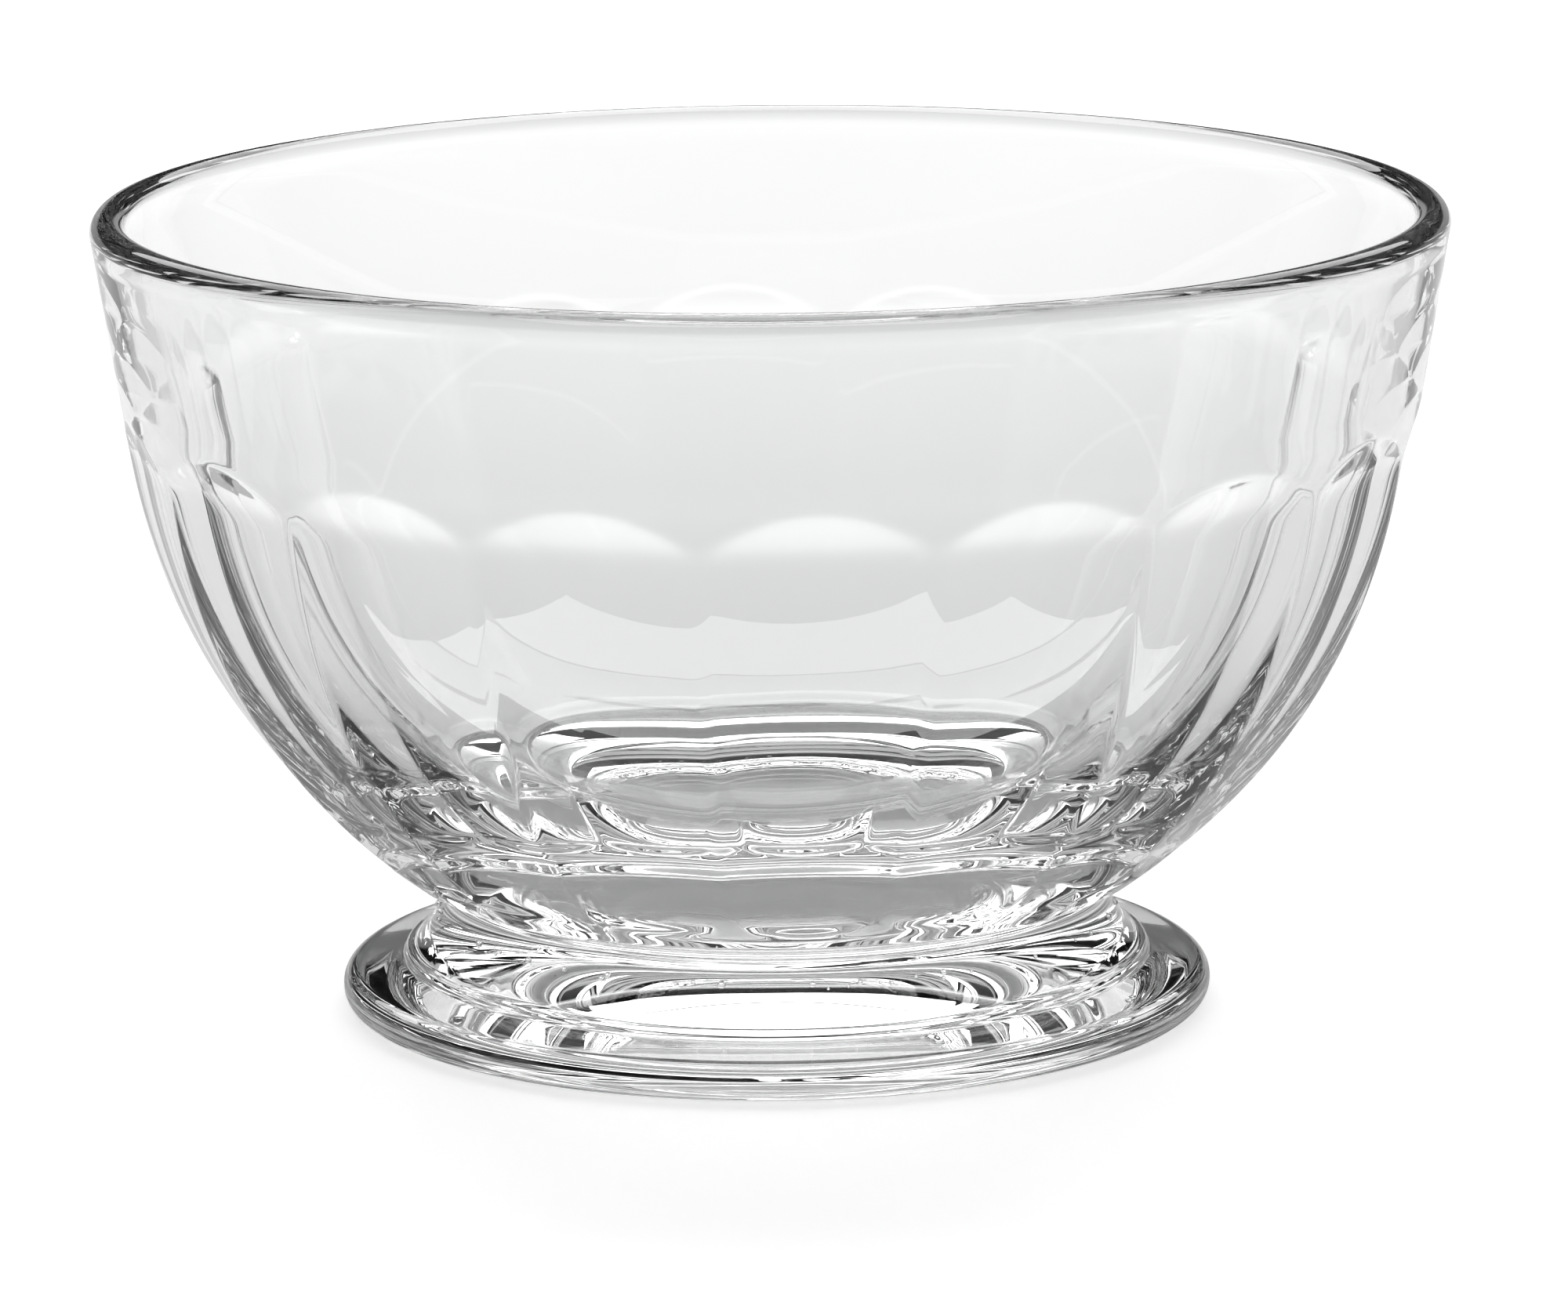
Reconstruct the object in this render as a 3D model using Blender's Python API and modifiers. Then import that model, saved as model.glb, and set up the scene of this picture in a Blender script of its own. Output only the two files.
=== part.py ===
"""Footed glass bowl for ice cream: a pressed, panelled bowl on a pressed foot.

Sizes are in metres. +Z is up and the origin is the centre of the foot's underside,
so the bowl stands on z = 0. One flat panel of the bowl faces -Y.
"""
from math import cos, pi, radians, sin, tan

import bpy

# Driving dimensions of the foot, heights from the table
FOOT_HEIGHT = 0.0112
NECK_RADIUS = 0.0322
COVE_WIDTH = 0.0040
COVE_FULLNESS = 0.3
STEP_HEIGHT = 0.0055
STEP_ROUND = 0.0006
FLANGE_WIDTH = 0.0060
FLANGE_INNER_HEIGHT = 0.0045
FLANGE_EDGE_HEIGHT = 0.0036
FLANGE_ROUND = 0.0017
CONTACT_RING_WIDTH = 0.0145
RECESS_RISE = 0.0049
RECESS_SLOPE = radians(20.0)
RECESS_SLOPE_PULL = 0.0148
RECESS_CROWN_PULL = 0.0134

# Driving dimensions of the bowl, heights from its seat on the foot
BOWL_HEIGHT = 0.0665
RIM_RADIUS = 0.0650
RIM_BEAD_RADIUS = 0.00175
WALL_FLARE = radians(9.0)
SHOULDER_DROP = 0.0180
SHOULDER_PULL = 0.0060
COLLAR_WIDTH = 0.0038
COLLAR_HEIGHT = 0.0019
COLLAR_SLOPE = radians(36.0)
BELLY_PULL = 0.0300
SHOULDER_WALL = 0.0043
FLOOR_THICKNESS = 0.0042
FLOOR_PULL = 0.0470
INSIDE_PULL = 0.0180

# Driving dimensions of the flat panels pressed into the outside of the bowl
PANEL_COUNT = 18
ARCH_TOP_DROP = 0.0185
ARCH_RISE = 0.0037
RIDGE_RELIEF = 0.00008
PANEL_END_HEIGHT = 0.0042
PANEL_RUN_OUT = 0.0014

# Clearances and fineness
WELD_GAP = 0.0003
CUTTER_MARGIN = 0.0100
ROUND_STEPS = 54
CURVE_STEPS = 9
BEAD_STEPS = 6
ROUND_EDGE_STEPS = 4
STEP_ROUND_STEPS = 2
RECESS_STEPS = 6
MERGE_DISTANCE = 0.00001

# Sizes that follow from the driving dimensions
STEP_RADIUS = NECK_RADIUS + COVE_WIDTH
FOOT_RADIUS = STEP_RADIUS + FLANGE_WIDTH
RECESS_RADIUS = FOOT_RADIUS - CONTACT_RING_WIDTH
SEAT_HEIGHT = FOOT_HEIGHT + WELD_GAP
BEAD_CENTRE_RADIUS = RIM_RADIUS - RIM_BEAD_RADIUS
BEAD_CENTRE_HEIGHT = BOWL_HEIGHT - RIM_BEAD_RADIUS
SHOULDER_HEIGHT = BOWL_HEIGHT - SHOULDER_DROP
SHOULDER_RADIUS = RIM_RADIUS - (BEAD_CENTRE_HEIGHT - SHOULDER_HEIGHT) * tan(WALL_FLARE)
COLLAR_RADIUS = NECK_RADIUS + COLLAR_WIDTH
ARCH_TOP_HEIGHT = BOWL_HEIGHT - ARCH_TOP_DROP
HALF_PANEL = pi / PANEL_COUNT

GLASS_COLOUR = (0.93, 0.96, 0.95, 1.0)
GLASS_ROUGHNESS = 0.02
GLASS_IOR = 1.52


def bezier(start, start_handle, end_handle, end, steps):
    """Points of a cubic curve from start to end, both included."""
    points = []
    for index in range(steps + 1):
        t = index / steps
        s = 1.0 - t
        weights = (s ** 3, 3 * s * s * t, 3 * s * t * t, t ** 3)
        corners = (start, start_handle, end_handle, end)
        radius = sum(weight * corner[0] for weight, corner in zip(weights, corners))
        height = sum(weight * corner[1] for weight, corner in zip(weights, corners))
        points.append((radius, height))
    return points


def arc(centre, radius, start_angle, end_angle, steps):
    """Points of a circular arc in the profile plane, both ends included."""
    points = []
    for index in range(steps + 1):
        angle = start_angle + (end_angle - start_angle) * index / steps
        points.append((centre[0] + radius * cos(angle), centre[1] + radius * sin(angle)))
    return points


def belly_curve():
    """Outer wall from the shoulder down to the collar above the neck."""
    shoulder = (SHOULDER_RADIUS, SHOULDER_HEIGHT)
    shoulder_handle = (
        SHOULDER_RADIUS - SHOULDER_PULL * sin(WALL_FLARE),
        SHOULDER_HEIGHT - SHOULDER_PULL * cos(WALL_FLARE),
    )
    collar = (COLLAR_RADIUS, COLLAR_HEIGHT)
    collar_handle = (
        COLLAR_RADIUS + BELLY_PULL * cos(COLLAR_SLOPE),
        COLLAR_HEIGHT + BELLY_PULL * sin(COLLAR_SLOPE),
    )
    return bezier(shoulder, shoulder_handle, collar_handle, collar, CURVE_STEPS)


def wall_radius(height):
    """Outer radius of the round wall at a height above the seat."""
    if height >= SHOULDER_HEIGHT:
        return SHOULDER_RADIUS + (height - SHOULDER_HEIGHT) * tan(WALL_FLARE)
    points = belly_curve()
    for upper, lower in zip(points, points[1:]):
        if height >= lower[1]:
            share = (height - lower[1]) / (upper[1] - lower[1])
            return lower[0] + share * (upper[0] - lower[0])
    return COLLAR_RADIUS


def inside_curve():
    """Inner wall from the centre of the floor up to the shoulder."""
    floor = (0.0, FLOOR_THICKNESS)
    floor_handle = (FLOOR_PULL, FLOOR_THICKNESS)
    shoulder = (SHOULDER_RADIUS - SHOULDER_WALL, SHOULDER_HEIGHT)
    shoulder_handle = (
        shoulder[0] - INSIDE_PULL * sin(WALL_FLARE),
        shoulder[1] - INSIDE_PULL * cos(WALL_FLARE),
    )
    return bezier(floor, floor_handle, shoulder_handle, shoulder, CURVE_STEPS)


def bowl_profile():
    """Half section of the round bowl: up the inside, over the rim, down the outside."""
    bead_centre = (BEAD_CENTRE_RADIUS, BEAD_CENTRE_HEIGHT)
    rim = arc(bead_centre, RIM_BEAD_RADIUS, pi, 0.0, BEAD_STEPS)
    stem = [(NECK_RADIUS, 0.0), (0.0, 0.0)]
    return inside_curve() + rim + belly_curve() + stem


def panel_profile():
    """Ridge line of the many-sided envelope that leaves the flat panels."""
    top = BOWL_HEIGHT + CUTTER_MARGIN
    arch_top_radius = wall_radius(ARCH_TOP_HEIGHT) / cos(HALF_PANEL)
    ridge_top_height = ARCH_TOP_HEIGHT - ARCH_RISE
    ridge_top_radius = wall_radius(ridge_top_height) - RIDGE_RELIEF
    arch_slope = (arch_top_radius - ridge_top_radius) / ARCH_RISE
    clear_radius = arch_top_radius + arch_slope * (top - ARCH_TOP_HEIGHT)
    end_radius = wall_radius(PANEL_END_HEIGHT) - RIDGE_RELIEF
    ridge = [
        (radius - RIDGE_RELIEF, height)
        for radius, height in belly_curve()
        if PANEL_END_HEIGHT < height < ridge_top_height
    ]
    lower_height = PANEL_END_HEIGHT - PANEL_RUN_OUT
    lower_radius = end_radius / cos(HALF_PANEL)
    below = -CUTTER_MARGIN
    crown = [(0.0, top), (clear_radius, top), (ridge_top_radius, ridge_top_height)]
    run_out = [(end_radius, PANEL_END_HEIGHT), (lower_radius, lower_height)]
    return crown + ridge + run_out + [(lower_radius, below), (0.0, below)]


def foot_profile():
    """Half section of the foot: seat, cove, step, flange, contact ring and domed recess."""
    neck = (NECK_RADIUS, FOOT_HEIGHT)
    cove_end = (STEP_RADIUS - STEP_ROUND, STEP_HEIGHT)
    cove_drop = FOOT_HEIGHT - STEP_HEIGHT
    cove_handle = (NECK_RADIUS, FOOT_HEIGHT - COVE_FULLNESS * cove_drop)
    cove_end_handle = (cove_end[0] - COVE_FULLNESS * COVE_WIDTH, STEP_HEIGHT)
    cove = bezier(neck, cove_handle, cove_end_handle, cove_end, ROUND_EDGE_STEPS)
    step_centre = (STEP_RADIUS - STEP_ROUND, STEP_HEIGHT - STEP_ROUND)
    step = arc(step_centre, STEP_ROUND, pi / 2, 0.0, STEP_ROUND_STEPS)
    flange_start = (STEP_RADIUS, FLANGE_INNER_HEIGHT)
    edge_top_centre = (FOOT_RADIUS - FLANGE_ROUND, FLANGE_EDGE_HEIGHT - FLANGE_ROUND)
    edge_top = arc(edge_top_centre, FLANGE_ROUND, pi / 2, 0.0, ROUND_EDGE_STEPS)
    edge_low_centre = (FOOT_RADIUS - FLANGE_ROUND, FLANGE_ROUND)
    edge_low = arc(edge_low_centre, FLANGE_ROUND, 0.0, -pi / 2, ROUND_EDGE_STEPS)
    recess_edge = (RECESS_RADIUS, 0.0)
    recess_edge_handle = (
        RECESS_RADIUS - RECESS_SLOPE_PULL * cos(RECESS_SLOPE),
        RECESS_SLOPE_PULL * sin(RECESS_SLOPE),
    )
    recess_crown = (0.0, RECESS_RISE)
    recess_crown_handle = (RECESS_CROWN_PULL, RECESS_RISE)
    recess = bezier(recess_edge, recess_edge_handle, recess_crown_handle, recess_crown, RECESS_STEPS)
    return [(0.0, FOOT_HEIGHT)] + cove + step[1:] + [flange_start] + edge_top + edge_low + recess


def without_repeats(points):
    """The same outline with neighbouring equal points merged."""
    kept = [points[0]]
    for point in points[1:]:
        step = abs(point[0] - kept[-1][0]) + abs(point[1] - kept[-1][1])
        if step > MERGE_DISTANCE:
            kept.append(point)
    return kept


def turned_object(name, profile, steps, smooth, collection):
    """A solid of revolution about Z from a profile in the XZ plane."""
    points = without_repeats(profile)
    mesh = bpy.data.meshes.new(name)
    vertices = [(radius, 0.0, height) for radius, height in points]
    edges = [(index, index + 1) for index in range(len(points) - 1)]
    mesh.from_pydata(vertices, edges, [])
    turned = bpy.data.objects.new(name, mesh)
    collection.objects.link(turned)
    screw = turned.modifiers.new("turn", "SCREW")
    screw.axis = "Z"
    screw.angle = 2 * pi
    screw.screw_offset = 0.0
    screw.steps = steps
    screw.render_steps = steps
    screw.use_merge_vertices = True
    screw.merge_threshold = MERGE_DISTANCE
    screw.use_smooth_shade = smooth
    return turned


def clear_glass(name):
    """Clear, faintly green soda-lime glass."""
    material = bpy.data.materials.new(name)
    material.use_nodes = True
    shader = material.node_tree.nodes["Principled BSDF"]
    shader.inputs["Base Color"].default_value = GLASS_COLOUR
    shader.inputs["Roughness"].default_value = GLASS_ROUGHNESS
    shader.inputs["Metallic"].default_value = 0.0
    shader.inputs["IOR"].default_value = GLASS_IOR
    shader.inputs["Transmission Weight"].default_value = 1.0
    return material


def make_foot(parts):
    """The pressed foot, solid above its recess."""
    foot = turned_object("foot", foot_profile(), ROUND_STEPS, True, parts)
    foot.data.materials.append(clear_glass("foot_glass"))
    return foot


def make_bowl(parts, cutters):
    """The pressed bowl, its flat panels left by a many-sided envelope."""
    bowl = turned_object("bowl", bowl_profile(), ROUND_STEPS, True, parts)
    bowl.data.materials.append(clear_glass("bowl_glass"))
    envelope = turned_object("panel_envelope", panel_profile(), PANEL_COUNT, False, cutters)
    envelope.hide_render = True
    envelope.display_type = "WIRE"
    panels = bowl.modifiers.new("panels", "BOOLEAN")
    panels.operation = "INTERSECT"
    panels.solver = "EXACT"
    panels.object = envelope
    bowl.location.z = SEAT_HEIGHT
    envelope.location.z = SEAT_HEIGHT
    return bowl


def new_collection(name):
    """A collection linked to the scene."""
    collection = bpy.data.collections.new(name)
    bpy.context.scene.collection.children.link(collection)
    return collection


def main():
    """Clear the scene and model the bowl on its foot."""
    for old in list(bpy.data.objects):
        bpy.data.objects.remove(old, do_unlink=True)
    parts = new_collection("ice_cream_bowl")
    cutters = new_collection("cutters")
    origin = bpy.data.objects.new("bowl_origin", None)
    parts.objects.link(origin)
    for piece in (make_foot(parts), make_bowl(parts, cutters)):
        piece.parent = origin


main()
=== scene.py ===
"""Footed ice cream bowl in clear pressed glass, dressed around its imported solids."""
import logging
import math
from dataclasses import dataclass
from enum import Enum
from typing import Any, NamedTuple, Optional, Sequence, Union

import bpy
from mathutils import Matrix, Vector


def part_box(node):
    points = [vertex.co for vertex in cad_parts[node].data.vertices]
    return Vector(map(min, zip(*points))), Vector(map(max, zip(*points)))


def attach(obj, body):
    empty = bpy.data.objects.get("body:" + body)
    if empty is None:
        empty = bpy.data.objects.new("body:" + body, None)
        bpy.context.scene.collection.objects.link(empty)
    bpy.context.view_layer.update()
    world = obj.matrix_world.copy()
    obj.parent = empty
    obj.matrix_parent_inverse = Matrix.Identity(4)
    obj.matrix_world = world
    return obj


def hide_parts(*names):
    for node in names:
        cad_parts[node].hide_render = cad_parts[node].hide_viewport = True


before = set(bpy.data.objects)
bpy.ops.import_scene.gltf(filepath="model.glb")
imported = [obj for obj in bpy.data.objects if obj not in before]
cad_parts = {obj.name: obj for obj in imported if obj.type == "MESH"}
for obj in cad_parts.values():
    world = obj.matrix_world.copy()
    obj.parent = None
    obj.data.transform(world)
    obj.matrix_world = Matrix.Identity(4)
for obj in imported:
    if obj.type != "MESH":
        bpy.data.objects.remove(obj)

LOG = logging.getLogger("ice_cream_bowl")
BODY = "root"
MILLIMETRE = 0.001
MERGE_DISTANCE = 0.01 * MILLIMETRE
LIGHT_BOUNCES = 24
MIX_COLOUR_OUTPUT = 2
RANDOM_FLOAT_OUTPUT = 1

Pair = tuple[float, float]
Colour = tuple[float, float, float]
Number = Union[int, float]


class Face(Enum):
    """What a stretch of the section becomes on the lathe."""

    ROUND = "round"
    PANELLED = "panelled"
    WELD = "weld"


class SectionPoint(NamedTuple):
    """One point of a half section, in metres, and the kind of face that it lies on."""

    radius: float
    height: float
    face: Face = Face.ROUND


class Wire:
    """A node's output, with arithmetic that adds Math nodes to the same tree."""

    def __init__(self, graph: "Graph", socket: bpy.types.NodeSocket) -> None:
        """Keep the tree and the socket."""
        self.graph = graph
        self.socket = socket

    def math(self, operation: str, *values: "Operand") -> "Wire":
        """Add a Math node.

        Args:
            operation: Blender's name of the operation.
            values: the operands, this wire usually among them.

        Returns:
            The node's result.
        """
        node = self.graph.add("ShaderNodeMath", {"operation": operation}, dict(enumerate(values)))
        return self.graph.wire(node)

    def __add__(self, other: "Operand") -> "Wire":
        """This wire plus another value."""
        return self.math("ADD", self, other)

    def __radd__(self, other: "Operand") -> "Wire":
        """Another value plus this wire."""
        return self.math("ADD", other, self)

    def __sub__(self, other: "Operand") -> "Wire":
        """This wire less another value."""
        return self.math("SUBTRACT", self, other)

    def __rsub__(self, other: "Operand") -> "Wire":
        """Another value less this wire."""
        return self.math("SUBTRACT", other, self)

    def __mul__(self, other: "Operand") -> "Wire":
        """This wire times another value."""
        return self.math("MULTIPLY", self, other)

    def __truediv__(self, other: "Operand") -> "Wire":
        """This wire over another value."""
        return self.math("DIVIDE", self, other)

    def __rtruediv__(self, other: "Operand") -> "Wire":
        """Another value over this wire."""
        return self.math("DIVIDE", other, self)

    def __mod__(self, other: "Operand") -> "Wire":
        """This wire wrapped into the span from zero to another value."""
        return self.math("FLOORED_MODULO", self, other)

    def floor(self) -> "Wire":
        """The whole part."""
        return self.math("FLOOR", self)

    def cos(self) -> "Wire":
        """The cosine of an angle in radians."""
        return self.math("COSINE", self)

    def sin(self) -> "Wire":
        """The sine of an angle in radians."""
        return self.math("SINE", self)

    def above(self, other: "Operand") -> "Wire":
        """One where this wire is the greater, and otherwise zero."""
        return self.math("GREATER_THAN", self, other)

    def highest(self, other: "Operand") -> "Wire":
        """The greater of the two."""
        return self.math("MAXIMUM", self, other)

    def blended_lowest(self, other: "Operand", width: "Operand") -> "Wire":
        """The lesser of the two, rounded where they meet."""
        return self.math("SMOOTH_MIN", self, other, width)


Operand = Union[Wire, Number]
SocketValue = Union[Wire, Number, bool, str, Sequence[float], bpy.types.ID]


class Graph:
    """A node tree, and the one way that nodes are added to it."""

    def __init__(self, tree: bpy.types.NodeTree) -> None:
        """Keep the tree."""
        self.tree = tree

    def add(
        self,
        kind: str,
        settings: Optional[dict[str, Any]] = None,
        sockets: Optional[dict[Union[str, int], SocketValue]] = None,
    ) -> bpy.types.Node:
        """Add a node, set it up, then fill or link its sockets.

        Args:
            kind: the node's type.
            settings: its properties.
            sockets: values or wires by socket identifier, name or index.

        Returns:
            The node.
        """
        node = self.tree.nodes.new(kind)
        for name, value in (settings or {}).items():
            setattr(node, name, value)
        return self.fill(node, sockets or {})

    def fill(self, node: bpy.types.Node, sockets: dict[Union[str, int], SocketValue]) -> bpy.types.Node:
        """Fill or link a node's sockets.

        Args:
            node: the node.
            sockets: values or wires by socket identifier, name or index.

        Returns:
            The same node.
        """
        for key, value in sockets.items():
            self._set(self._input(node, key), value)
        return node

    def wire(self, node: bpy.types.Node, output: Union[str, int] = 0) -> Wire:
        """One output of a node as a wire."""
        return Wire(self, node.outputs[output])

    def rise(self, value: Wire, low: float, high: float) -> Wire:
        """A soft rise from zero to one between two values."""
        sockets = {"Value": value, "From Min": low, "From Max": high}
        return self.wire(self.add("ShaderNodeMapRange", {"interpolation_type": "SMOOTHSTEP"}, sockets))

    def _input(self, node: bpy.types.Node, key: Union[str, int]) -> bpy.types.NodeSocket:
        """The input that a key names."""
        if isinstance(key, int):
            return node.inputs[key]
        matches = [socket for socket in node.inputs if socket.identifier == key]
        return matches[0] if matches else node.inputs[key]

    def _set(self, socket: bpy.types.NodeSocket, value: SocketValue) -> None:
        """Link a wire to an input, or set its value."""
        if isinstance(value, Wire):
            self.tree.links.new(value.socket, socket)
        elif socket.type == "RGBA" and len(value) == 3:
            socket.default_value = (*value, 1.0)
        else:
            socket.default_value = value


def bezier(start: Pair, start_handle: Pair, end_handle: Pair, end: Pair, steps: int) -> list[Pair]:
    """Points of a cubic curve.

    Args:
        start: first point, as radius and height.
        start_handle: handle of the first point.
        end_handle: handle of the last point.
        end: last point.
        steps: number of straight steps.

    Returns:
        The points, both ends included.
    """
    points = []
    for index in range(steps + 1):
        t = index / steps
        s = 1.0 - t
        weights = (s ** 3, 3 * s * s * t, 3 * s * t * t, t ** 3)
        corners = (start, start_handle, end_handle, end)
        radius = sum(weight * corner[0] for weight, corner in zip(weights, corners))
        height = sum(weight * corner[1] for weight, corner in zip(weights, corners))
        points.append((radius, height))
    return points


def arc(centre: Pair, radius: float, start: float, end: float, steps: int) -> list[Pair]:
    """Points of a circular arc.

    Args:
        centre: centre, as radius and height.
        radius: the arc's own radius.
        start: first angle, from the outward direction towards up.
        end: last angle.
        steps: number of straight steps.

    Returns:
        The points, both ends included.
    """
    angles = [start + (end - start) * index / steps for index in range(steps + 1)]
    return [(centre[0] + radius * math.cos(a), centre[1] + radius * math.sin(a)) for a in angles]


def line(start: Pair, end: Pair, steps: int) -> list[Pair]:
    """Evenly spaced points of a straight line, both ends included."""
    shares = [index / steps for index in range(steps + 1)]
    return [(start[0] + (end[0] - start[0]) * s, start[1] + (end[1] - start[1]) * s) for s in shares]


def along(point: Pair, angle: float, length: float) -> Pair:
    """The point at a length from another, at an angle from outward towards up."""
    return (point[0] + length * math.cos(angle), point[1] + length * math.sin(angle))


def section(points: Sequence[Pair], face: Face = Face.ROUND) -> list[SectionPoint]:
    """The same points, marked for the lathe."""
    return [SectionPoint(radius, height, face) for radius, height in points]


@dataclass(frozen=True)
class PressedGlass:
    """Clear soda-lime glass, fire-polished, with the faint ripple of the mould."""

    name: str = "pressed_glass"
    tint: Colour = (0.993, 0.996, 0.996)
    streak_tint: Colour = (0.988, 0.993, 0.992)
    streak_scale: float = 60.0
    streak_detail: float = 2.0
    refraction: float = 1.52
    polish: float = 0.0
    haze: float = 0.004
    haze_scale: float = 240.0
    haze_detail: float = 3.0
    ripple_scale: float = 95.0
    ripple_detail: float = 1.0
    ripple_height: float = 0.012 * MILLIMETRE

    def material(self) -> bpy.types.Material:
        """Build the glass.

        Returns:
            The material.
        """
        material = bpy.data.materials.new(self.name)
        material.use_nodes = True
        graph = Graph(material.node_tree)
        shader = material.node_tree.nodes["Principled BSDF"]
        place = graph.wire(graph.add("ShaderNodeTexCoord"), "Object")
        streak = self._noise(graph, place, self.streak_scale, self.streak_detail)
        haze = self._noise(graph, place, self.haze_scale, self.haze_detail)
        ripple = self._noise(graph, place, self.ripple_scale, self.ripple_detail)
        tint = graph.add(
            "ShaderNodeMix",
            {"data_type": "RGBA"},
            {"Factor_Float": streak, "A_Color": self.tint, "B_Color": self.streak_tint},
        )
        bump = graph.add("ShaderNodeBump", {}, {"Distance": self.ripple_height, "Height": ripple})
        graph.fill(
            shader,
            {
                "Base Color": graph.wire(tint, MIX_COLOUR_OUTPUT),
                "Roughness": self.polish + haze * (self.haze - self.polish),
                "Normal": graph.wire(bump),
                "IOR": self.refraction,
                "Transmission Weight": 1.0,
            },
        )
        return material

    def _noise(self, graph: Graph, place: Wire, scale: float, detail: float) -> Wire:
        """Soft noise over the surface, from zero to one."""
        sockets = {"Vector": place, "Scale": scale, "Detail": detail}
        return graph.wire(graph.add("ShaderNodeTexNoise", {}, sockets))


@dataclass(frozen=True)
class WeldSeam:
    """The fused joint inside the neck, where two closed pieces of glass run into one."""

    name: str = "fused_seam"

    def material(self) -> bpy.types.Material:
        """Build the unseen seam.

        Returns:
            The material.
        """
        material = bpy.data.materials.new(self.name)
        material.use_nodes = True
        shader = material.node_tree.nodes["Principled BSDF"]
        shader.inputs["Base Color"].default_value = (1.0, 1.0, 1.0, 1.0)
        shader.inputs["Alpha"].default_value = 0.0
        return material


@dataclass(frozen=True)
class PanelRule:
    """How the flat panels are pressed into the belly, in metres and radians."""

    count: int = 18
    arch_top: float = 59.5 * MILLIMETRE
    arch_slope: float = 0.25
    arch_blend: float = 0.5 * MILLIMETRE
    end_height: float = 15.2 * MILLIMETRE
    end_slope: float = 0.5
    end_blend: float = 0.45 * MILLIMETRE
    ridge_blend: float = 0.15 * MILLIMETRE


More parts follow.
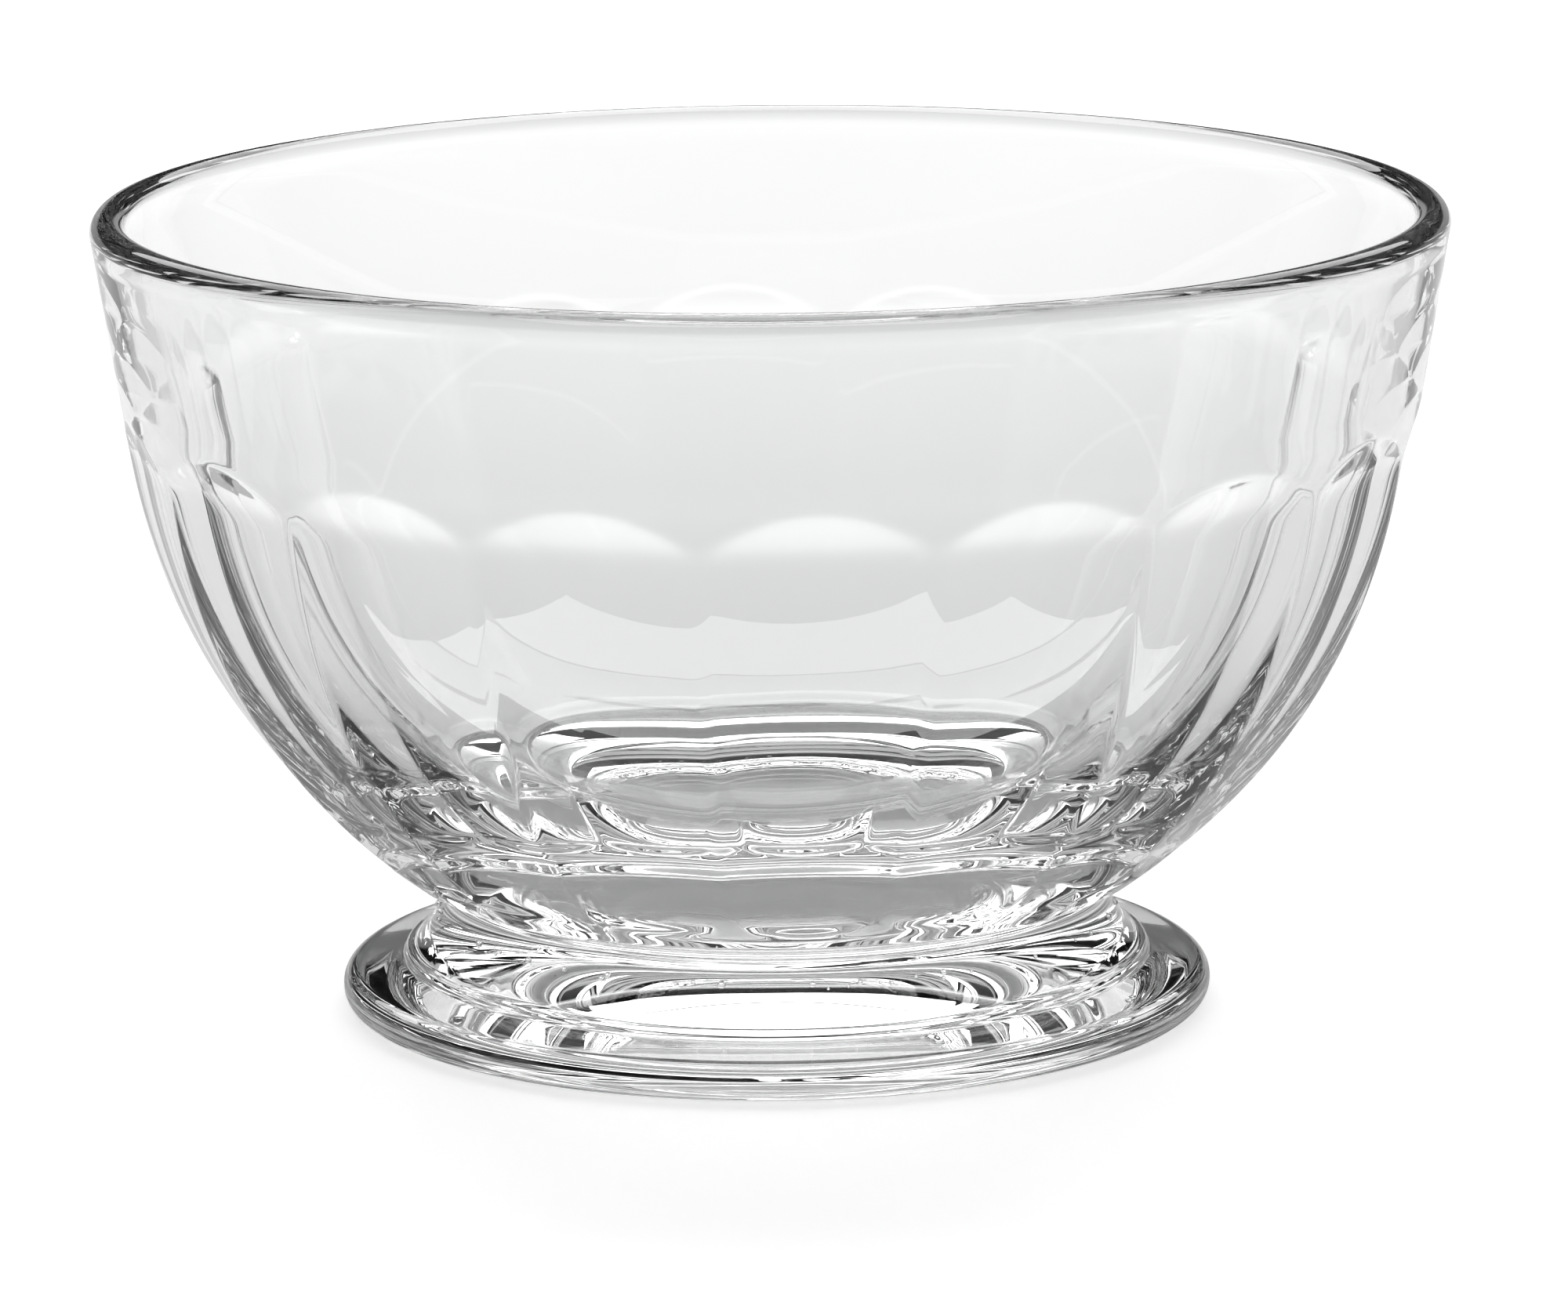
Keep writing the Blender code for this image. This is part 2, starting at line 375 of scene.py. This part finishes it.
class Lathe:
    """A geometry node tree that turns a half section and presses panels into it."""

    FLOATS = {
        "Arch Top": "arch_top",
        "Arch Slope": "arch_slope",
        "Arch Blend": "arch_blend",
        "End Height": "end_height",
        "End Slope": "end_slope",
        "End Blend": "end_blend",
        "Ridge Blend": "ridge_blend",
    }
    # The mean of a mark over a face's corners is above this only where all of them carry it.
    WHOLE_FACE = 0.99

    def __init__(self, segments: int = 432) -> None:
        """Build the tree.

        Args:
            segments: number of steps round the turn.
        """
        self.segments = segments
        self.tree = bpy.data.node_groups.new("turned_glass", "GeometryNodeTree")
        self._add_interface()
        self._add_nodes()

    def turn(
        self,
        name: str,
        points: Sequence[SectionPoint],
        panels: PanelRule,
        glass: bpy.types.Material,
        seam: bpy.types.Material,
    ) -> bpy.types.Object:
        """Turn a half section into a closed piece.

        Args:
            name: the piece's name.
            points: the half section, from axis to axis, down its outer side.
            panels: the rule of the pressed panels.
            glass: material of the outer faces.
            seam: material of the faces that are marked as weld.

        Returns:
            The piece, as a plain mesh.
        """
        maker = bpy.data.objects.new(name, self._half_section(name, points))
        bpy.context.scene.collection.objects.link(maker)
        modifier = maker.modifiers.new("turn", "NODES")
        modifier.node_group = self.tree
        values: dict[str, Any] = {label: getattr(panels, attr) for label, attr in self.FLOATS.items()}
        values.update({"Segments": self.segments, "Panels": panels.count, "Glass": glass, "Seam": seam})
        for item in self.tree.interface.items_tree:
            if item.name in values and item.in_out == "INPUT":
                modifier[item.identifier] = values[item.name]
        return plain_mesh(maker)

    def _half_section(self, name: str, points: Sequence[SectionPoint]) -> bpy.types.Mesh:
        """The section as loose vertices with its marks as attributes."""
        mesh = bpy.data.meshes.new(name + "_section")
        mesh.from_pydata([(point.radius, 0.0, point.height) for point in points], [], [])
        for face in (Face.PANELLED, Face.WELD):
            attribute = mesh.attributes.new(face.value, "FLOAT", "POINT")
            attribute.data.foreach_set("value", [float(point.face is face) for point in points])
        return mesh

    def _add_interface(self) -> None:
        """Name the tree's inputs and its output."""
        interface = self.tree.interface
        interface.new_socket("Section", in_out="INPUT", socket_type="NodeSocketGeometry")
        for label in ("Segments", "Panels"):
            interface.new_socket(label, in_out="INPUT", socket_type="NodeSocketInt")
        for label in self.FLOATS:
            interface.new_socket(label, in_out="INPUT", socket_type="NodeSocketFloat")
        for label in ("Glass", "Seam"):
            interface.new_socket(label, in_out="INPUT", socket_type="NodeSocketMaterial")
        interface.new_socket("Glass Piece", in_out="OUTPUT", socket_type="NodeSocketGeometry")

    def _add_nodes(self) -> None:
        """Lay out the grid, bend it round the axis, press the panels and close it."""
        graph = Graph(self.tree)
        given = graph.add("NodeGroupInput")
        value = {socket.name: Wire(graph, socket) for socket in given.outputs if socket.name}
        half = value["Section"]
        count = graph.wire(graph.add("GeometryNodeAttributeDomainSize", {}, {"Geometry": half}))
        columns = value["Segments"] + 1
        grid = graph.add("GeometryNodeMeshGrid", {}, {"Vertices X": count, "Vertices Y": columns})
        index = graph.wire(graph.add("GeometryNodeInputIndex"))
        row = ((index + 0.5) / columns).floor()
        turn = (index - row * columns) * math.tau / value["Segments"]
        position = graph.wire(graph.add("GeometryNodeInputPosition"))
        point = self._sampled(graph, "FLOAT_VECTOR", half, position, row)
        panelled = self._sampled(graph, "FLOAT", half, self._mark(graph, Face.PANELLED), row)
        weld = self._sampled(graph, "FLOAT", half, self._mark(graph, Face.WELD), row)
        spot = graph.add("ShaderNodeSeparateXYZ", {}, {"Vector": point})
        radius, height = graph.wire(spot, "X"), graph.wire(spot, "Z")
        pressed = self._pressed_radius(value, radius, height, turn)
        outer = radius + (pressed - radius) * panelled
        place = graph.add(
            "ShaderNodeCombineXYZ", {}, {"X": outer * turn.cos(), "Y": outer * turn.sin(), "Z": height}
        )
        marked = graph.add(
            "GeometryNodeStoreNamedAttribute",
            {"data_type": "FLOAT", "domain": "POINT"},
            {"Geometry": graph.wire(grid, "Mesh"), "Name": Face.WELD.value, "Value": weld},
        )
        placed = graph.add(
            "GeometryNodeSetPosition",
            {},
            {"Geometry": graph.wire(marked), "Position": graph.wire(place)},
        )
        self._add_ending(graph, value, graph.wire(placed))

    def _mark(self, graph: Graph, face: Face) -> Wire:
        """One on the points that lie on a kind of face, and otherwise zero."""
        named = graph.add("GeometryNodeInputNamedAttribute", {"data_type": "FLOAT"}, {"Name": face.value})
        return graph.wire(named)

    def _sampled(self, graph: Graph, data_type: str, half: Wire, field: Wire, row: Wire) -> Wire:
        """The value that a field has at the section's point for a row of the grid.

        Args:
            graph: the tree.
            data_type: Blender's name of the field's type.
            half: the half section.
            field: what is read there.
            row: the row of the grid.

        Returns:
            The value.
        """
        sockets = {"Geometry": half, "Value": field, "Index": row}
        settings = {"data_type": data_type, "domain": "POINT"}
        return graph.wire(graph.add("GeometryNodeSampleIndex", settings, sockets))

    def _pressed_radius(self, value: dict[str, Wire], radius: Wire, height: Wire, turn: Wire) -> Wire:
        """The radius of the flat panel, arched at its top and run out at its foot.

        Args:
            value: the tree's inputs.
            radius: radius of the round wall.
            height: height of the point.
            turn: angle round the axis, from +X.

        Returns:
            The radius, with a soft ridge between neighbouring panels.
        """
        pitch = math.tau / value["Panels"]
        across = (turn + math.pi / 2 + pitch / 2) % pitch - pitch / 2
        flat_depth = radius * (1 - (pitch / 2).cos())
        arch_depth = (value["Arch Top"] - height) * value["Arch Slope"]
        end_depth = (height - value["End Height"]) * value["End Slope"]
        depth = arch_depth.blended_lowest(flat_depth, value["Arch Blend"])
        depth = depth.blended_lowest(end_depth, value["End Blend"])
        flat = (radius - depth) / across.cos()
        return radius.blended_lowest(flat, value["Ridge Blend"])

    def _add_ending(self, graph: Graph, value: dict[str, Wire], placed: Wire) -> None:
        """Weld the grid's edges, smooth it, and set its two materials."""
        merged = graph.add(
            "GeometryNodeMergeByDistance", {}, {"Geometry": placed, "Distance": MERGE_DISTANCE}
        )
        smooth = graph.add("GeometryNodeSetShadeSmooth", {}, {"Geometry": graph.wire(merged)})
        real = graph.add("GeometryNodeRealizeInstances", {}, {"Geometry": graph.wire(smooth)})
        dressed = graph.add(
            "GeometryNodeSetMaterial",
            {},
            {"Geometry": graph.wire(real), "Material": value["Glass"]},
        )
        fused = self._mark(graph, Face.WELD).above(self.WHOLE_FACE)
        seamed = graph.add(
            "GeometryNodeSetMaterial",
            {},
            {"Geometry": graph.wire(dressed), "Selection": fused, "Material": value["Seam"]},
        )
        graph.add("NodeGroupOutput", {}, {"Glass Piece": graph.wire(seamed)})


def plain_mesh(maker: bpy.types.Object) -> bpy.types.Object:
    """Turn an object with live modifiers into one with a plain mesh.

    Args:
        maker: the object; it is removed.

    Returns:
        A new object of the same name, at the origin.
    """
    name = maker.name
    graph = bpy.context.evaluated_depsgraph_get()
    mesh = bpy.data.meshes.new_from_object(maker.evaluated_get(graph))
    maker.modifiers.clear()
    bpy.data.objects.remove(maker, do_unlink=True)
    mesh.name = name
    # A grid or a ball that nodes make brings an empty slot of its own.
    if mesh.materials[0] is None:
        mesh.materials.pop(index=0)
    piece = bpy.data.objects.new(name, mesh)
    bpy.context.scene.collection.objects.link(piece)
    return piece


@dataclass
class Bowl:
    """The pressed bowl: plain flared rim, panelled belly and thick rounded floor."""

    rim_radius: float
    rim_height: float
    seat_height: float
    weld_height: float
    neck_radius: float = 32.2 * MILLIMETRE
    bead_radius: float = 1.75 * MILLIMETRE
    wall_flare: float = math.radians(9.0)
    shoulder_drop: float = 18.0 * MILLIMETRE
    shoulder_pull: float = 6.0 * MILLIMETRE
    collar_width: float = 3.8 * MILLIMETRE
    collar_rise: float = 1.9 * MILLIMETRE
    collar_slope: float = math.radians(36.0)
    collar_pull: float = 2.2 * MILLIMETRE
    neck_pull: float = 1.2 * MILLIMETRE
    belly_pull: float = 30.0 * MILLIMETRE
    shoulder_wall: float = 4.3 * MILLIMETRE
    floor_rise: float = 4.2 * MILLIMETRE
    floor_pull: float = 47.0 * MILLIMETRE
    inside_pull: float = 18.0 * MILLIMETRE
    floor_steps: int = 56
    inner_wall_steps: int = 8
    rim_steps: int = 22
    outer_wall_steps: int = 16
    belly_steps: int = 96
    neck_steps: int = 12
    panels: PanelRule = PanelRule()

    def bead_centre(self) -> Pair:
        """Centre of the rounded rim, as radius and height."""
        return (self.rim_radius - self.bead_radius, self.rim_height - self.bead_radius)

    def shoulder(self) -> Pair:
        """The outer point where the straight wall turns into the belly."""
        height = self.rim_height - self.shoulder_drop
        run = (self.bead_centre()[1] - height) * math.tan(self.wall_flare)
        return (self.rim_radius - run, height)

    def inside(self) -> list[Pair]:
        """The inner face, from the middle of the floor up to the rim."""
        floor = (0.0, self.seat_height + self.floor_rise)
        shoulder = (self.shoulder()[0] - self.shoulder_wall, self.shoulder()[1])
        handle = along(shoulder, -math.pi / 2 - self.wall_flare, self.inside_pull)
        bottom = bezier(floor, (self.floor_pull, floor[1]), handle, shoulder, self.floor_steps)
        bead = self.bead_centre()
        wall = line(shoulder, (bead[0] - self.bead_radius, bead[1]), self.inner_wall_steps)
        return bottom + wall[1:-1]

    def rim(self) -> list[Pair]:
        """The rounded rim, from inside to outside."""
        return arc(self.bead_centre(), self.bead_radius, math.pi, 0.0, self.rim_steps)

    def collar(self) -> Pair:
        """The outer point where the belly turns into the neck."""
        return (self.neck_radius + self.collar_width, self.seat_height + self.collar_rise)

    def outside(self) -> list[Pair]:
        """The outer wall, from under the rim down to the collar."""
        shoulder, collar = self.shoulder(), self.collar()
        wall = line((self.rim_radius, self.bead_centre()[1]), shoulder, self.outer_wall_steps)
        downward = along(shoulder, -math.pi / 2 - self.wall_flare, self.shoulder_pull)
        upward = along(collar, self.collar_slope, self.belly_pull)
        return wall[1:-1] + bezier(shoulder, downward, upward, collar, self.belly_steps)

    def neck(self) -> list[Pair]:
        """The hollow under the collar, down to the weld."""
        collar, foot = self.collar(), (self.neck_radius, self.weld_height)
        leaving = along(collar, math.pi + self.collar_slope, self.collar_pull)
        arriving = (foot[0], foot[1] + self.neck_pull)
        return bezier(collar, leaving, arriving, foot, self.neck_steps)

    def build(self, lathe: Lathe, glass: bpy.types.Material, seam: bpy.types.Material) -> bpy.types.Object:
        """Turn the bowl.

        Args:
            lathe: the tree that turns sections.
            glass: material of the glass.
            seam: material of the weld.

        Returns:
            The bowl's piece.
        """
        points = section(self.inside() + self.rim()) + section(self.outside(), Face.PANELLED)
        weld = [(self.neck_radius, self.weld_height), (0.0, self.weld_height)]
        points += section(self.neck()[1:-1]) + section(weld, Face.WELD)
        return lathe.turn("bowl_glass", points, self.panels, glass, seam)

    def dress(self, piece: bpy.types.Object) -> None:
        """Put the piece in the place of its solid."""
        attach(piece, BODY)
        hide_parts("bowl")


@dataclass
class Foot:
    """The pressed foot: cove under the neck, step, sloping flange and domed recess."""

    foot_radius: float
    weld_height: float
    neck_radius: float = 32.2 * MILLIMETRE
    step_radius: float = 36.2 * MILLIMETRE
    step_height: float = 5.5 * MILLIMETRE
    step_round: float = 0.6 * MILLIMETRE
    cove_fullness: float = 0.3
    blister_share: float = 0.36
    flange_inner_height: float = 4.5 * MILLIMETRE
    flange_fillet: float = 0.35 * MILLIMETRE
    flange_edge_height: float = 3.6 * MILLIMETRE
    flange_round: float = 1.7 * MILLIMETRE
    contact_width: float = 14.5 * MILLIMETRE
    recess_rise: float = 4.9 * MILLIMETRE
    recess_slope: float = math.radians(20.0)
    recess_slope_pull: float = 14.8 * MILLIMETRE
    recess_crown_pull: float = 13.4 * MILLIMETRE
    cove_steps: int = 26
    step_steps: int = 9
    fillet_steps: int = 6
    flange_steps: int = 8
    edge_steps: int = 14
    ring_steps: int = 5
    recess_steps: int = 48

    def cove(self) -> list[Pair]:
        """The hollow from the weld down to the step."""
        start = (self.neck_radius, self.weld_height)
        end = (self.step_radius - self.step_round, self.step_height)
        drop, width = start[1] - end[1], end[0] - start[0]
        leaving = (start[0], start[1] - self.cove_fullness * drop)
        arriving = (end[0] - self.cove_fullness * width, end[1])
        return bezier(start, leaving, arriving, end, self.cove_steps)

    def blister_ring(self) -> Pair:
        """The ring of the cove that carries the weld's blisters, as radius and height."""
        points = self.cove()
        return points[int(self.blister_share * (len(points) - 1))]

    def step(self) -> list[Pair]:
        """The rounded step and the small fillet where it meets the flange."""
        centre = (self.step_radius - self.step_round, self.step_height - self.step_round)
        fillet = (self.step_radius + self.flange_fillet, self.flange_inner_height + self.flange_fillet)
        corner = arc(centre, self.step_round, math.pi / 2, 0.0, self.step_steps)
        hollow = arc(fillet, self.flange_fillet, math.pi, 1.5 * math.pi, self.fillet_steps)
        return corner[1:] + hollow

    def flange(self) -> list[Pair]:
        """The sloping top of the flange and its rounded edge."""
        inner = (self.step_radius + self.flange_fillet, self.flange_inner_height)
        centre = (self.foot_radius - self.flange_round, self.flange_edge_height - self.flange_round)
        low = (centre[0], self.flange_round)
        over = arc(centre, self.flange_round, math.pi / 2, 0.0, self.edge_steps)
        under = arc(low, self.flange_round, 0.0, -math.pi / 2, self.edge_steps)
        return line(inner, over[0], self.flange_steps)[1:-1] + over + under

    def underside(self) -> list[Pair]:
        """The contact ring and the domed recess."""
        edge = (self.foot_radius - self.contact_width, 0.0)
        crown = (0.0, self.recess_rise)
        rising = along(edge, math.pi - self.recess_slope, self.recess_slope_pull)
        ring = line((self.foot_radius - self.flange_round, 0.0), edge, self.ring_steps)
        dome = bezier(edge, rising, (self.recess_crown_pull, crown[1]), crown, self.recess_steps)
        return ring[1:-1] + dome

    def build(self, lathe: Lathe, glass: bpy.types.Material, seam: bpy.types.Material) -> bpy.types.Object:
        """Turn the foot.

        Args:
            lathe: the tree that turns sections.
            glass: material of the glass.
            seam: material of the weld.

        Returns:
            The foot's piece.
        """
        points = section([(0.0, self.weld_height), (self.neck_radius, self.weld_height)], Face.WELD)
        points += section(self.cove()[1:] + self.step() + self.flange() + self.underside())
        return lathe.turn("foot_glass", points, PanelRule(), glass, seam)

    def dress(self, piece: bpy.types.Object) -> None:
        """Put the piece in the place of its solid."""
        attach(piece, BODY)
        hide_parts("foot")


@dataclass
class WeldBlisters:
    """Tiny beads left round the neck where the hot bowl and foot ran together."""

    ring_radius: float
    ring_height: float
    count: int = 64
    smallest: float = 0.16 * MILLIMETRE
    largest: float = 0.42 * MILLIMETRE
    scatter: float = 0.7 * MILLIMETRE
    lean: float = 0.25
    roundness: int = 2
    seed: int = 11

    def build(self, glass: bpy.types.Material) -> bpy.types.Object:
        """Scatter the beads.

        Args:
            glass: material of the beads.

        Returns:
            The beads, as one piece.
        """
        maker = bpy.data.objects.new("weld_blisters", bpy.data.meshes.new("weld_blisters"))
        bpy.context.scene.collection.objects.link(maker)
        modifier = maker.modifiers.new("scatter", "NODES")
        modifier.node_group = self._tree()
        values: dict[str, Any] = {
            "Count": self.count,
            "Ring Radius": self.ring_radius,
            "Ring Height": self.ring_height,
            "Scatter": self.scatter,
            "Lean": self.lean,
            "Smallest": self.smallest,
            "Largest": self.largest,
            "Seed": self.seed,
            "Glass": glass,
        }
        for item in modifier.node_group.interface.items_tree:
            if item.in_out == "INPUT":
                modifier[item.identifier] = values[item.name]
        return plain_mesh(maker)

    def _tree(self) -> bpy.types.NodeTree:
        """The node tree that puts beads of random size round a ring."""
        tree = bpy.data.node_groups.new("weld_blisters", "GeometryNodeTree")
        for label in ("Count", "Seed"):
            tree.interface.new_socket(label, in_out="INPUT", socket_type="NodeSocketInt")
        for label in ("Ring Radius", "Ring Height", "Scatter", "Lean", "Smallest", "Largest"):
            tree.interface.new_socket(label, in_out="INPUT", socket_type="NodeSocketFloat")
        tree.interface.new_socket("Glass", in_out="INPUT", socket_type="NodeSocketMaterial")
        tree.interface.new_socket("Beads", in_out="OUTPUT", socket_type="NodeSocketGeometry")
        graph = Graph(tree)
        given = graph.add("NodeGroupInput")
        value = {socket.name: Wire(graph, socket) for socket in given.outputs if socket.name}
        turn = self._chance(graph, 0.0, math.tau, value["Seed"])
        rise = self._chance(graph, -0.5, 0.5, value["Seed"] + 1) * value["Scatter"]
        radius = value["Ring Radius"] - rise * value["Lean"]
        place = graph.add(
            "ShaderNodeCombineXYZ",
            {},
            {"X": radius * turn.cos(), "Y": radius * turn.sin(), "Z": value["Ring Height"] + rise},
        )
        spots = {"Count": value["Count"], "Position": graph.wire(place)}
        points = graph.add("GeometryNodePoints", {}, spots)
        bead = graph.add("GeometryNodeMeshIcoSphere", {}, {"Radius": 1.0, "Subdivisions": self.roundness})
        size = self._chance(graph, value["Smallest"], value["Largest"], value["Seed"] + 2)
        sizes = graph.add("ShaderNodeCombineXYZ", {}, {"X": size, "Y": size, "Z": size})
        beads = graph.add(
            "GeometryNodeInstanceOnPoints",
            {},
            {"Points": graph.wire(points), "Instance": graph.wire(bead), "Scale": graph.wire(sizes)},
        )
        real = graph.add("GeometryNodeRealizeInstances", {}, {"Geometry": graph.wire(beads)})
        smooth = graph.add("GeometryNodeSetShadeSmooth", {}, {"Geometry": graph.wire(real)})
        dressed = graph.add(
            "GeometryNodeSetMaterial", {}, {"Geometry": graph.wire(smooth), "Material": value["Glass"]}
        )
        graph.add("NodeGroupOutput", {}, {"Beads": graph.wire(dressed)})
        return tree

    def _chance(self, graph: Graph, low: Operand, high: Operand, seed: Operand) -> Wire:
        """A random value for each bead."""
        sockets = {"Min_001": low, "Max_001": high, "Seed": seed}
        drawn = graph.add("FunctionNodeRandomValue", {"data_type": "FLOAT"}, sockets)
        return graph.wire(drawn, RANDOM_FLOAT_OUTPUT)

    def dress(self, piece: bpy.types.Object) -> None:
        """Let the beads ride with the glass."""
        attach(piece, BODY)


@dataclass(frozen=True)
class FloorFinish:
    """White floor that keeps the bowl's real shadow and is white to the camera; to the glass it is white
    far off, with a painted shade round the bowl.
    """

    colour: float = 0.8
    lift: float = 0.55
    # The glow that the glass sees fades out towards the bowl: a painted shade round it, laid over its real
    # shadow.
    glass_painted_lift: float = 0.1
    painted_shade_core: float = 0.1
    painted_shade_edge: float = 0.4

    def material(self) -> bpy.types.Material:
        """Build the floor.

        Returns:
            The material.
        """
        material = bpy.data.materials.new("studio_floor")
        material.use_nodes = True
        material.node_tree.nodes.clear()
        graph = Graph(material.node_tree)
        rays = graph.add("ShaderNodeLightPath")
        seen = graph.wire(rays, "Is Camera Ray")
        through = graph.wire(rays, "Is Glossy Ray").highest(graph.wire(rays, "Is Transmission Ray"))
        place = graph.wire(graph.add("ShaderNodeTexCoord"), "Object")
        length = graph.add("ShaderNodeVectorMath", {"operation": "LENGTH"}, {0: place})
        reach = graph.wire(length, "Value")
        # Painted shade: for glass rays the floor's glow is zero near the bowl and full far off, so the
        # floor looks darker round the bowl; the lamp's real shadow lies under it.
        outside_painted_shade = graph.rise(reach, self.painted_shade_core, self.painted_shade_edge)
        lift = (seen * self.lift).highest(through * outside_painted_shade * self.glass_painted_lift)
        paint = graph.add("ShaderNodeBsdfDiffuse", {}, {"Color": (self.colour,) * 3})
        glow = graph.add("ShaderNodeEmission", {}, {"Color": (1.0, 1.0, 1.0), "Strength": lift})
        both = graph.add("ShaderNodeAddShader", {}, {0: graph.wire(paint), 1: graph.wire(glow)})
        graph.add("ShaderNodeOutputMaterial", {}, {"Surface": graph.wire(both)})
        return material


@dataclass(frozen=True)
class PhotoCamera:
    """The camera at the photograph's view, in metres and radians."""

    distance: float = 0.7719
    height: float = 0.2002
    bearing: float = math.radians(-3.8)
    pitch: float = math.radians(12.141)
    yaw: float = math.radians(-0.072)
    roll: float = math.radians(0.5)
    lens: float = 187.3
    sensor: float = 36.0
    reach: float = 50.0

    def build(self) -> bpy.types.Object:
        """Make the camera.

        Returns:
            The camera's object.
        """
        data = bpy.data.cameras.new("photo_camera")
        data.lens = self.lens
        data.sensor_width = self.sensor
        data.sensor_fit = "HORIZONTAL"
        data.clip_end = self.reach
        camera = bpy.data.objects.new("photo_camera", data)
        bpy.context.scene.collection.objects.link(camera)
        stand = Matrix.Rotation(self.bearing, 4, "Z") @ Vector((0.0, -self.distance, self.height))
        aim = Matrix.Rotation(self.bearing + self.yaw, 4, "Z")
        tilt = Matrix.Rotation(math.pi / 2 - self.pitch, 4, "X") @ Matrix.Rotation(-self.roll, 4, "Z")
        camera.matrix_world = Matrix.Translation(stand) @ aim @ tilt
        bpy.context.scene.camera = camera
        return camera


@dataclass(frozen=True)
class Surroundings:
    """White for the camera, soft light from all sides, and a dark room and pale horizon for the glass."""

    white: float = 1.0
    sky: float = 0.35
    room: float = 0.005
    horizon: float = 0.48
    horizon_top: float = math.radians(4.5)
    horizon_end: float = math.radians(7.0)

    def build(self) -> bpy.types.World:
        """Make the world.

        Returns:
            The world.
        """
        world = bpy.data.worlds.new("surroundings")
        world.use_nodes = True
        graph = Graph(world.node_tree)
        rays = graph.add("ShaderNodeLightPath")
        seen = graph.wire(rays, "Is Camera Ray")
        lighting = graph.wire(rays, "Diffuse Depth").above(0)
        way = graph.wire(graph.add("ShaderNodeTexCoord"), "Generated")
        upward = graph.wire(graph.add("ShaderNodeSeparateXYZ", {}, {"Vector": way}), "Z")
        high = graph.rise(upward, math.sin(self.horizon_top), math.sin(self.horizon_end))
        glass = self.horizon + high * (self.room - self.horizon)
        strength = glass + seen * (self.white - glass) + lighting * (self.sky - glass)
        background = world.node_tree.nodes["Background"]
        graph.fill(background, {"Color": (1.0, 1.0, 1.0), "Strength": strength})
        return world


@dataclass(frozen=True)
class SoftLamp:
    """One broad soft lamp above and behind the bowl."""

    name: str = "soft_lamp"
    bearing: float = math.radians(86.2)
    rise: float = math.radians(53.0)
    distance: float = 1.2
    spread: float = math.radians(27.0)
    width: float = 1.4
    level: float = 2.6

    def build(self) -> bpy.types.Object:
        """Make the lamp.

        Returns:
            The lamp's object.
        """
        depth = 2 * self.distance * math.tan(self.spread)
        data = bpy.data.lights.new(self.name, "AREA")
        data.shape = "RECTANGLE"
        data.size = self.width
        data.size_y = depth
        data.energy = self.level * math.pi * self.width * depth
        lamp = bpy.data.objects.new(self.name, data)
        bpy.context.scene.collection.objects.link(lamp)
        aim = Matrix.Rotation(self.bearing + math.pi / 2, 4, "Z")
        aim = aim @ Matrix.Rotation(math.pi / 2 - self.rise, 4, "X")
        lamp.matrix_world = aim @ Matrix.Translation((0.0, 0.0, self.distance))
        lamp.visible_camera = False
        return lamp


@dataclass
class Studio:
    """White floor under one soft lamp."""

    bearing: float = math.radians(-3.8)
    half_width: float = 0.9
    front: float = 0.9
    back: float = 1.2
    floor_drop: float = 0.2 * MILLIMETRE

    def build(self) -> list[bpy.types.Object]:
        """Make the floor, the lamp and the surroundings.

        Returns:
            The stage's objects.
        """
        bpy.context.scene.world = Surroundings().build()
        floor = self._floor()
        return [floor, SoftLamp().build()]

    def _floor(self) -> bpy.types.Object:
        """The floor, a hair under the foot."""
        turn = Matrix.Rotation(self.bearing, 3, "Z")
        left, right, height = -self.half_width, self.half_width, -self.floor_drop
        run = [(left, -self.front), (right, -self.front), (right, self.back), (left, self.back)]
        mesh = bpy.data.meshes.new("studio_floor")
        mesh.from_pydata([turn @ Vector((x, y, height)) for x, y in run], [], [(0, 1, 2, 3)])
        mesh.materials.append(FloorFinish().material())
        floor = bpy.data.objects.new("studio_floor", mesh)
        bpy.context.scene.collection.objects.link(floor)
        return floor


def set_render_look() -> None:
    """Plain colours, and enough bounces for thick glass."""
    scene = bpy.context.scene
    scene.view_settings.view_transform = "Standard"
    scene.cycles.max_bounces = LIGHT_BOUNCES
    scene.cycles.transmission_bounces = LIGHT_BOUNCES
    scene.cycles.glossy_bounces = LIGHT_BOUNCES
    scene.cycles.transparent_max_bounces = LIGHT_BOUNCES


def report_piece(piece: bpy.types.Object) -> None:
    """Log a piece's name and how many faces it has."""
    LOG.info("%s: %d faces", piece.name, len(piece.data.polygons))


def main() -> None:
    """Build the bowl, the foot and the studio, and report each piece."""
    logging.basicConfig(level=logging.INFO, format="%(name)s: %(message)s")
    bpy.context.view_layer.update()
    bowl_low, bowl_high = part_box("bowl")
    _, foot_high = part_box("foot")
    weld_height = (bowl_low[2] + foot_high[2]) / 2
    lathe, glass, seam = Lathe(), PressedGlass().material(), WeldSeam().material()
    bowl = Bowl(bowl_high[0], bowl_high[2], bowl_low[2], weld_height)
    foot = Foot(foot_high[0], weld_height)
    for part in (bowl, foot):
        piece = part.build(lathe, glass, seam)
        part.dress(piece)
        report_piece(piece)
    blisters = WeldBlisters(*foot.blister_ring())
    beads = blisters.build(glass)
    blisters.dress(beads)
    report_piece(beads)
    PhotoCamera().build()
    for stand in Studio().build():
        LOG.info("stage: %s", stand.name)
    set_render_look()


if __name__ == "__main__":
    main()
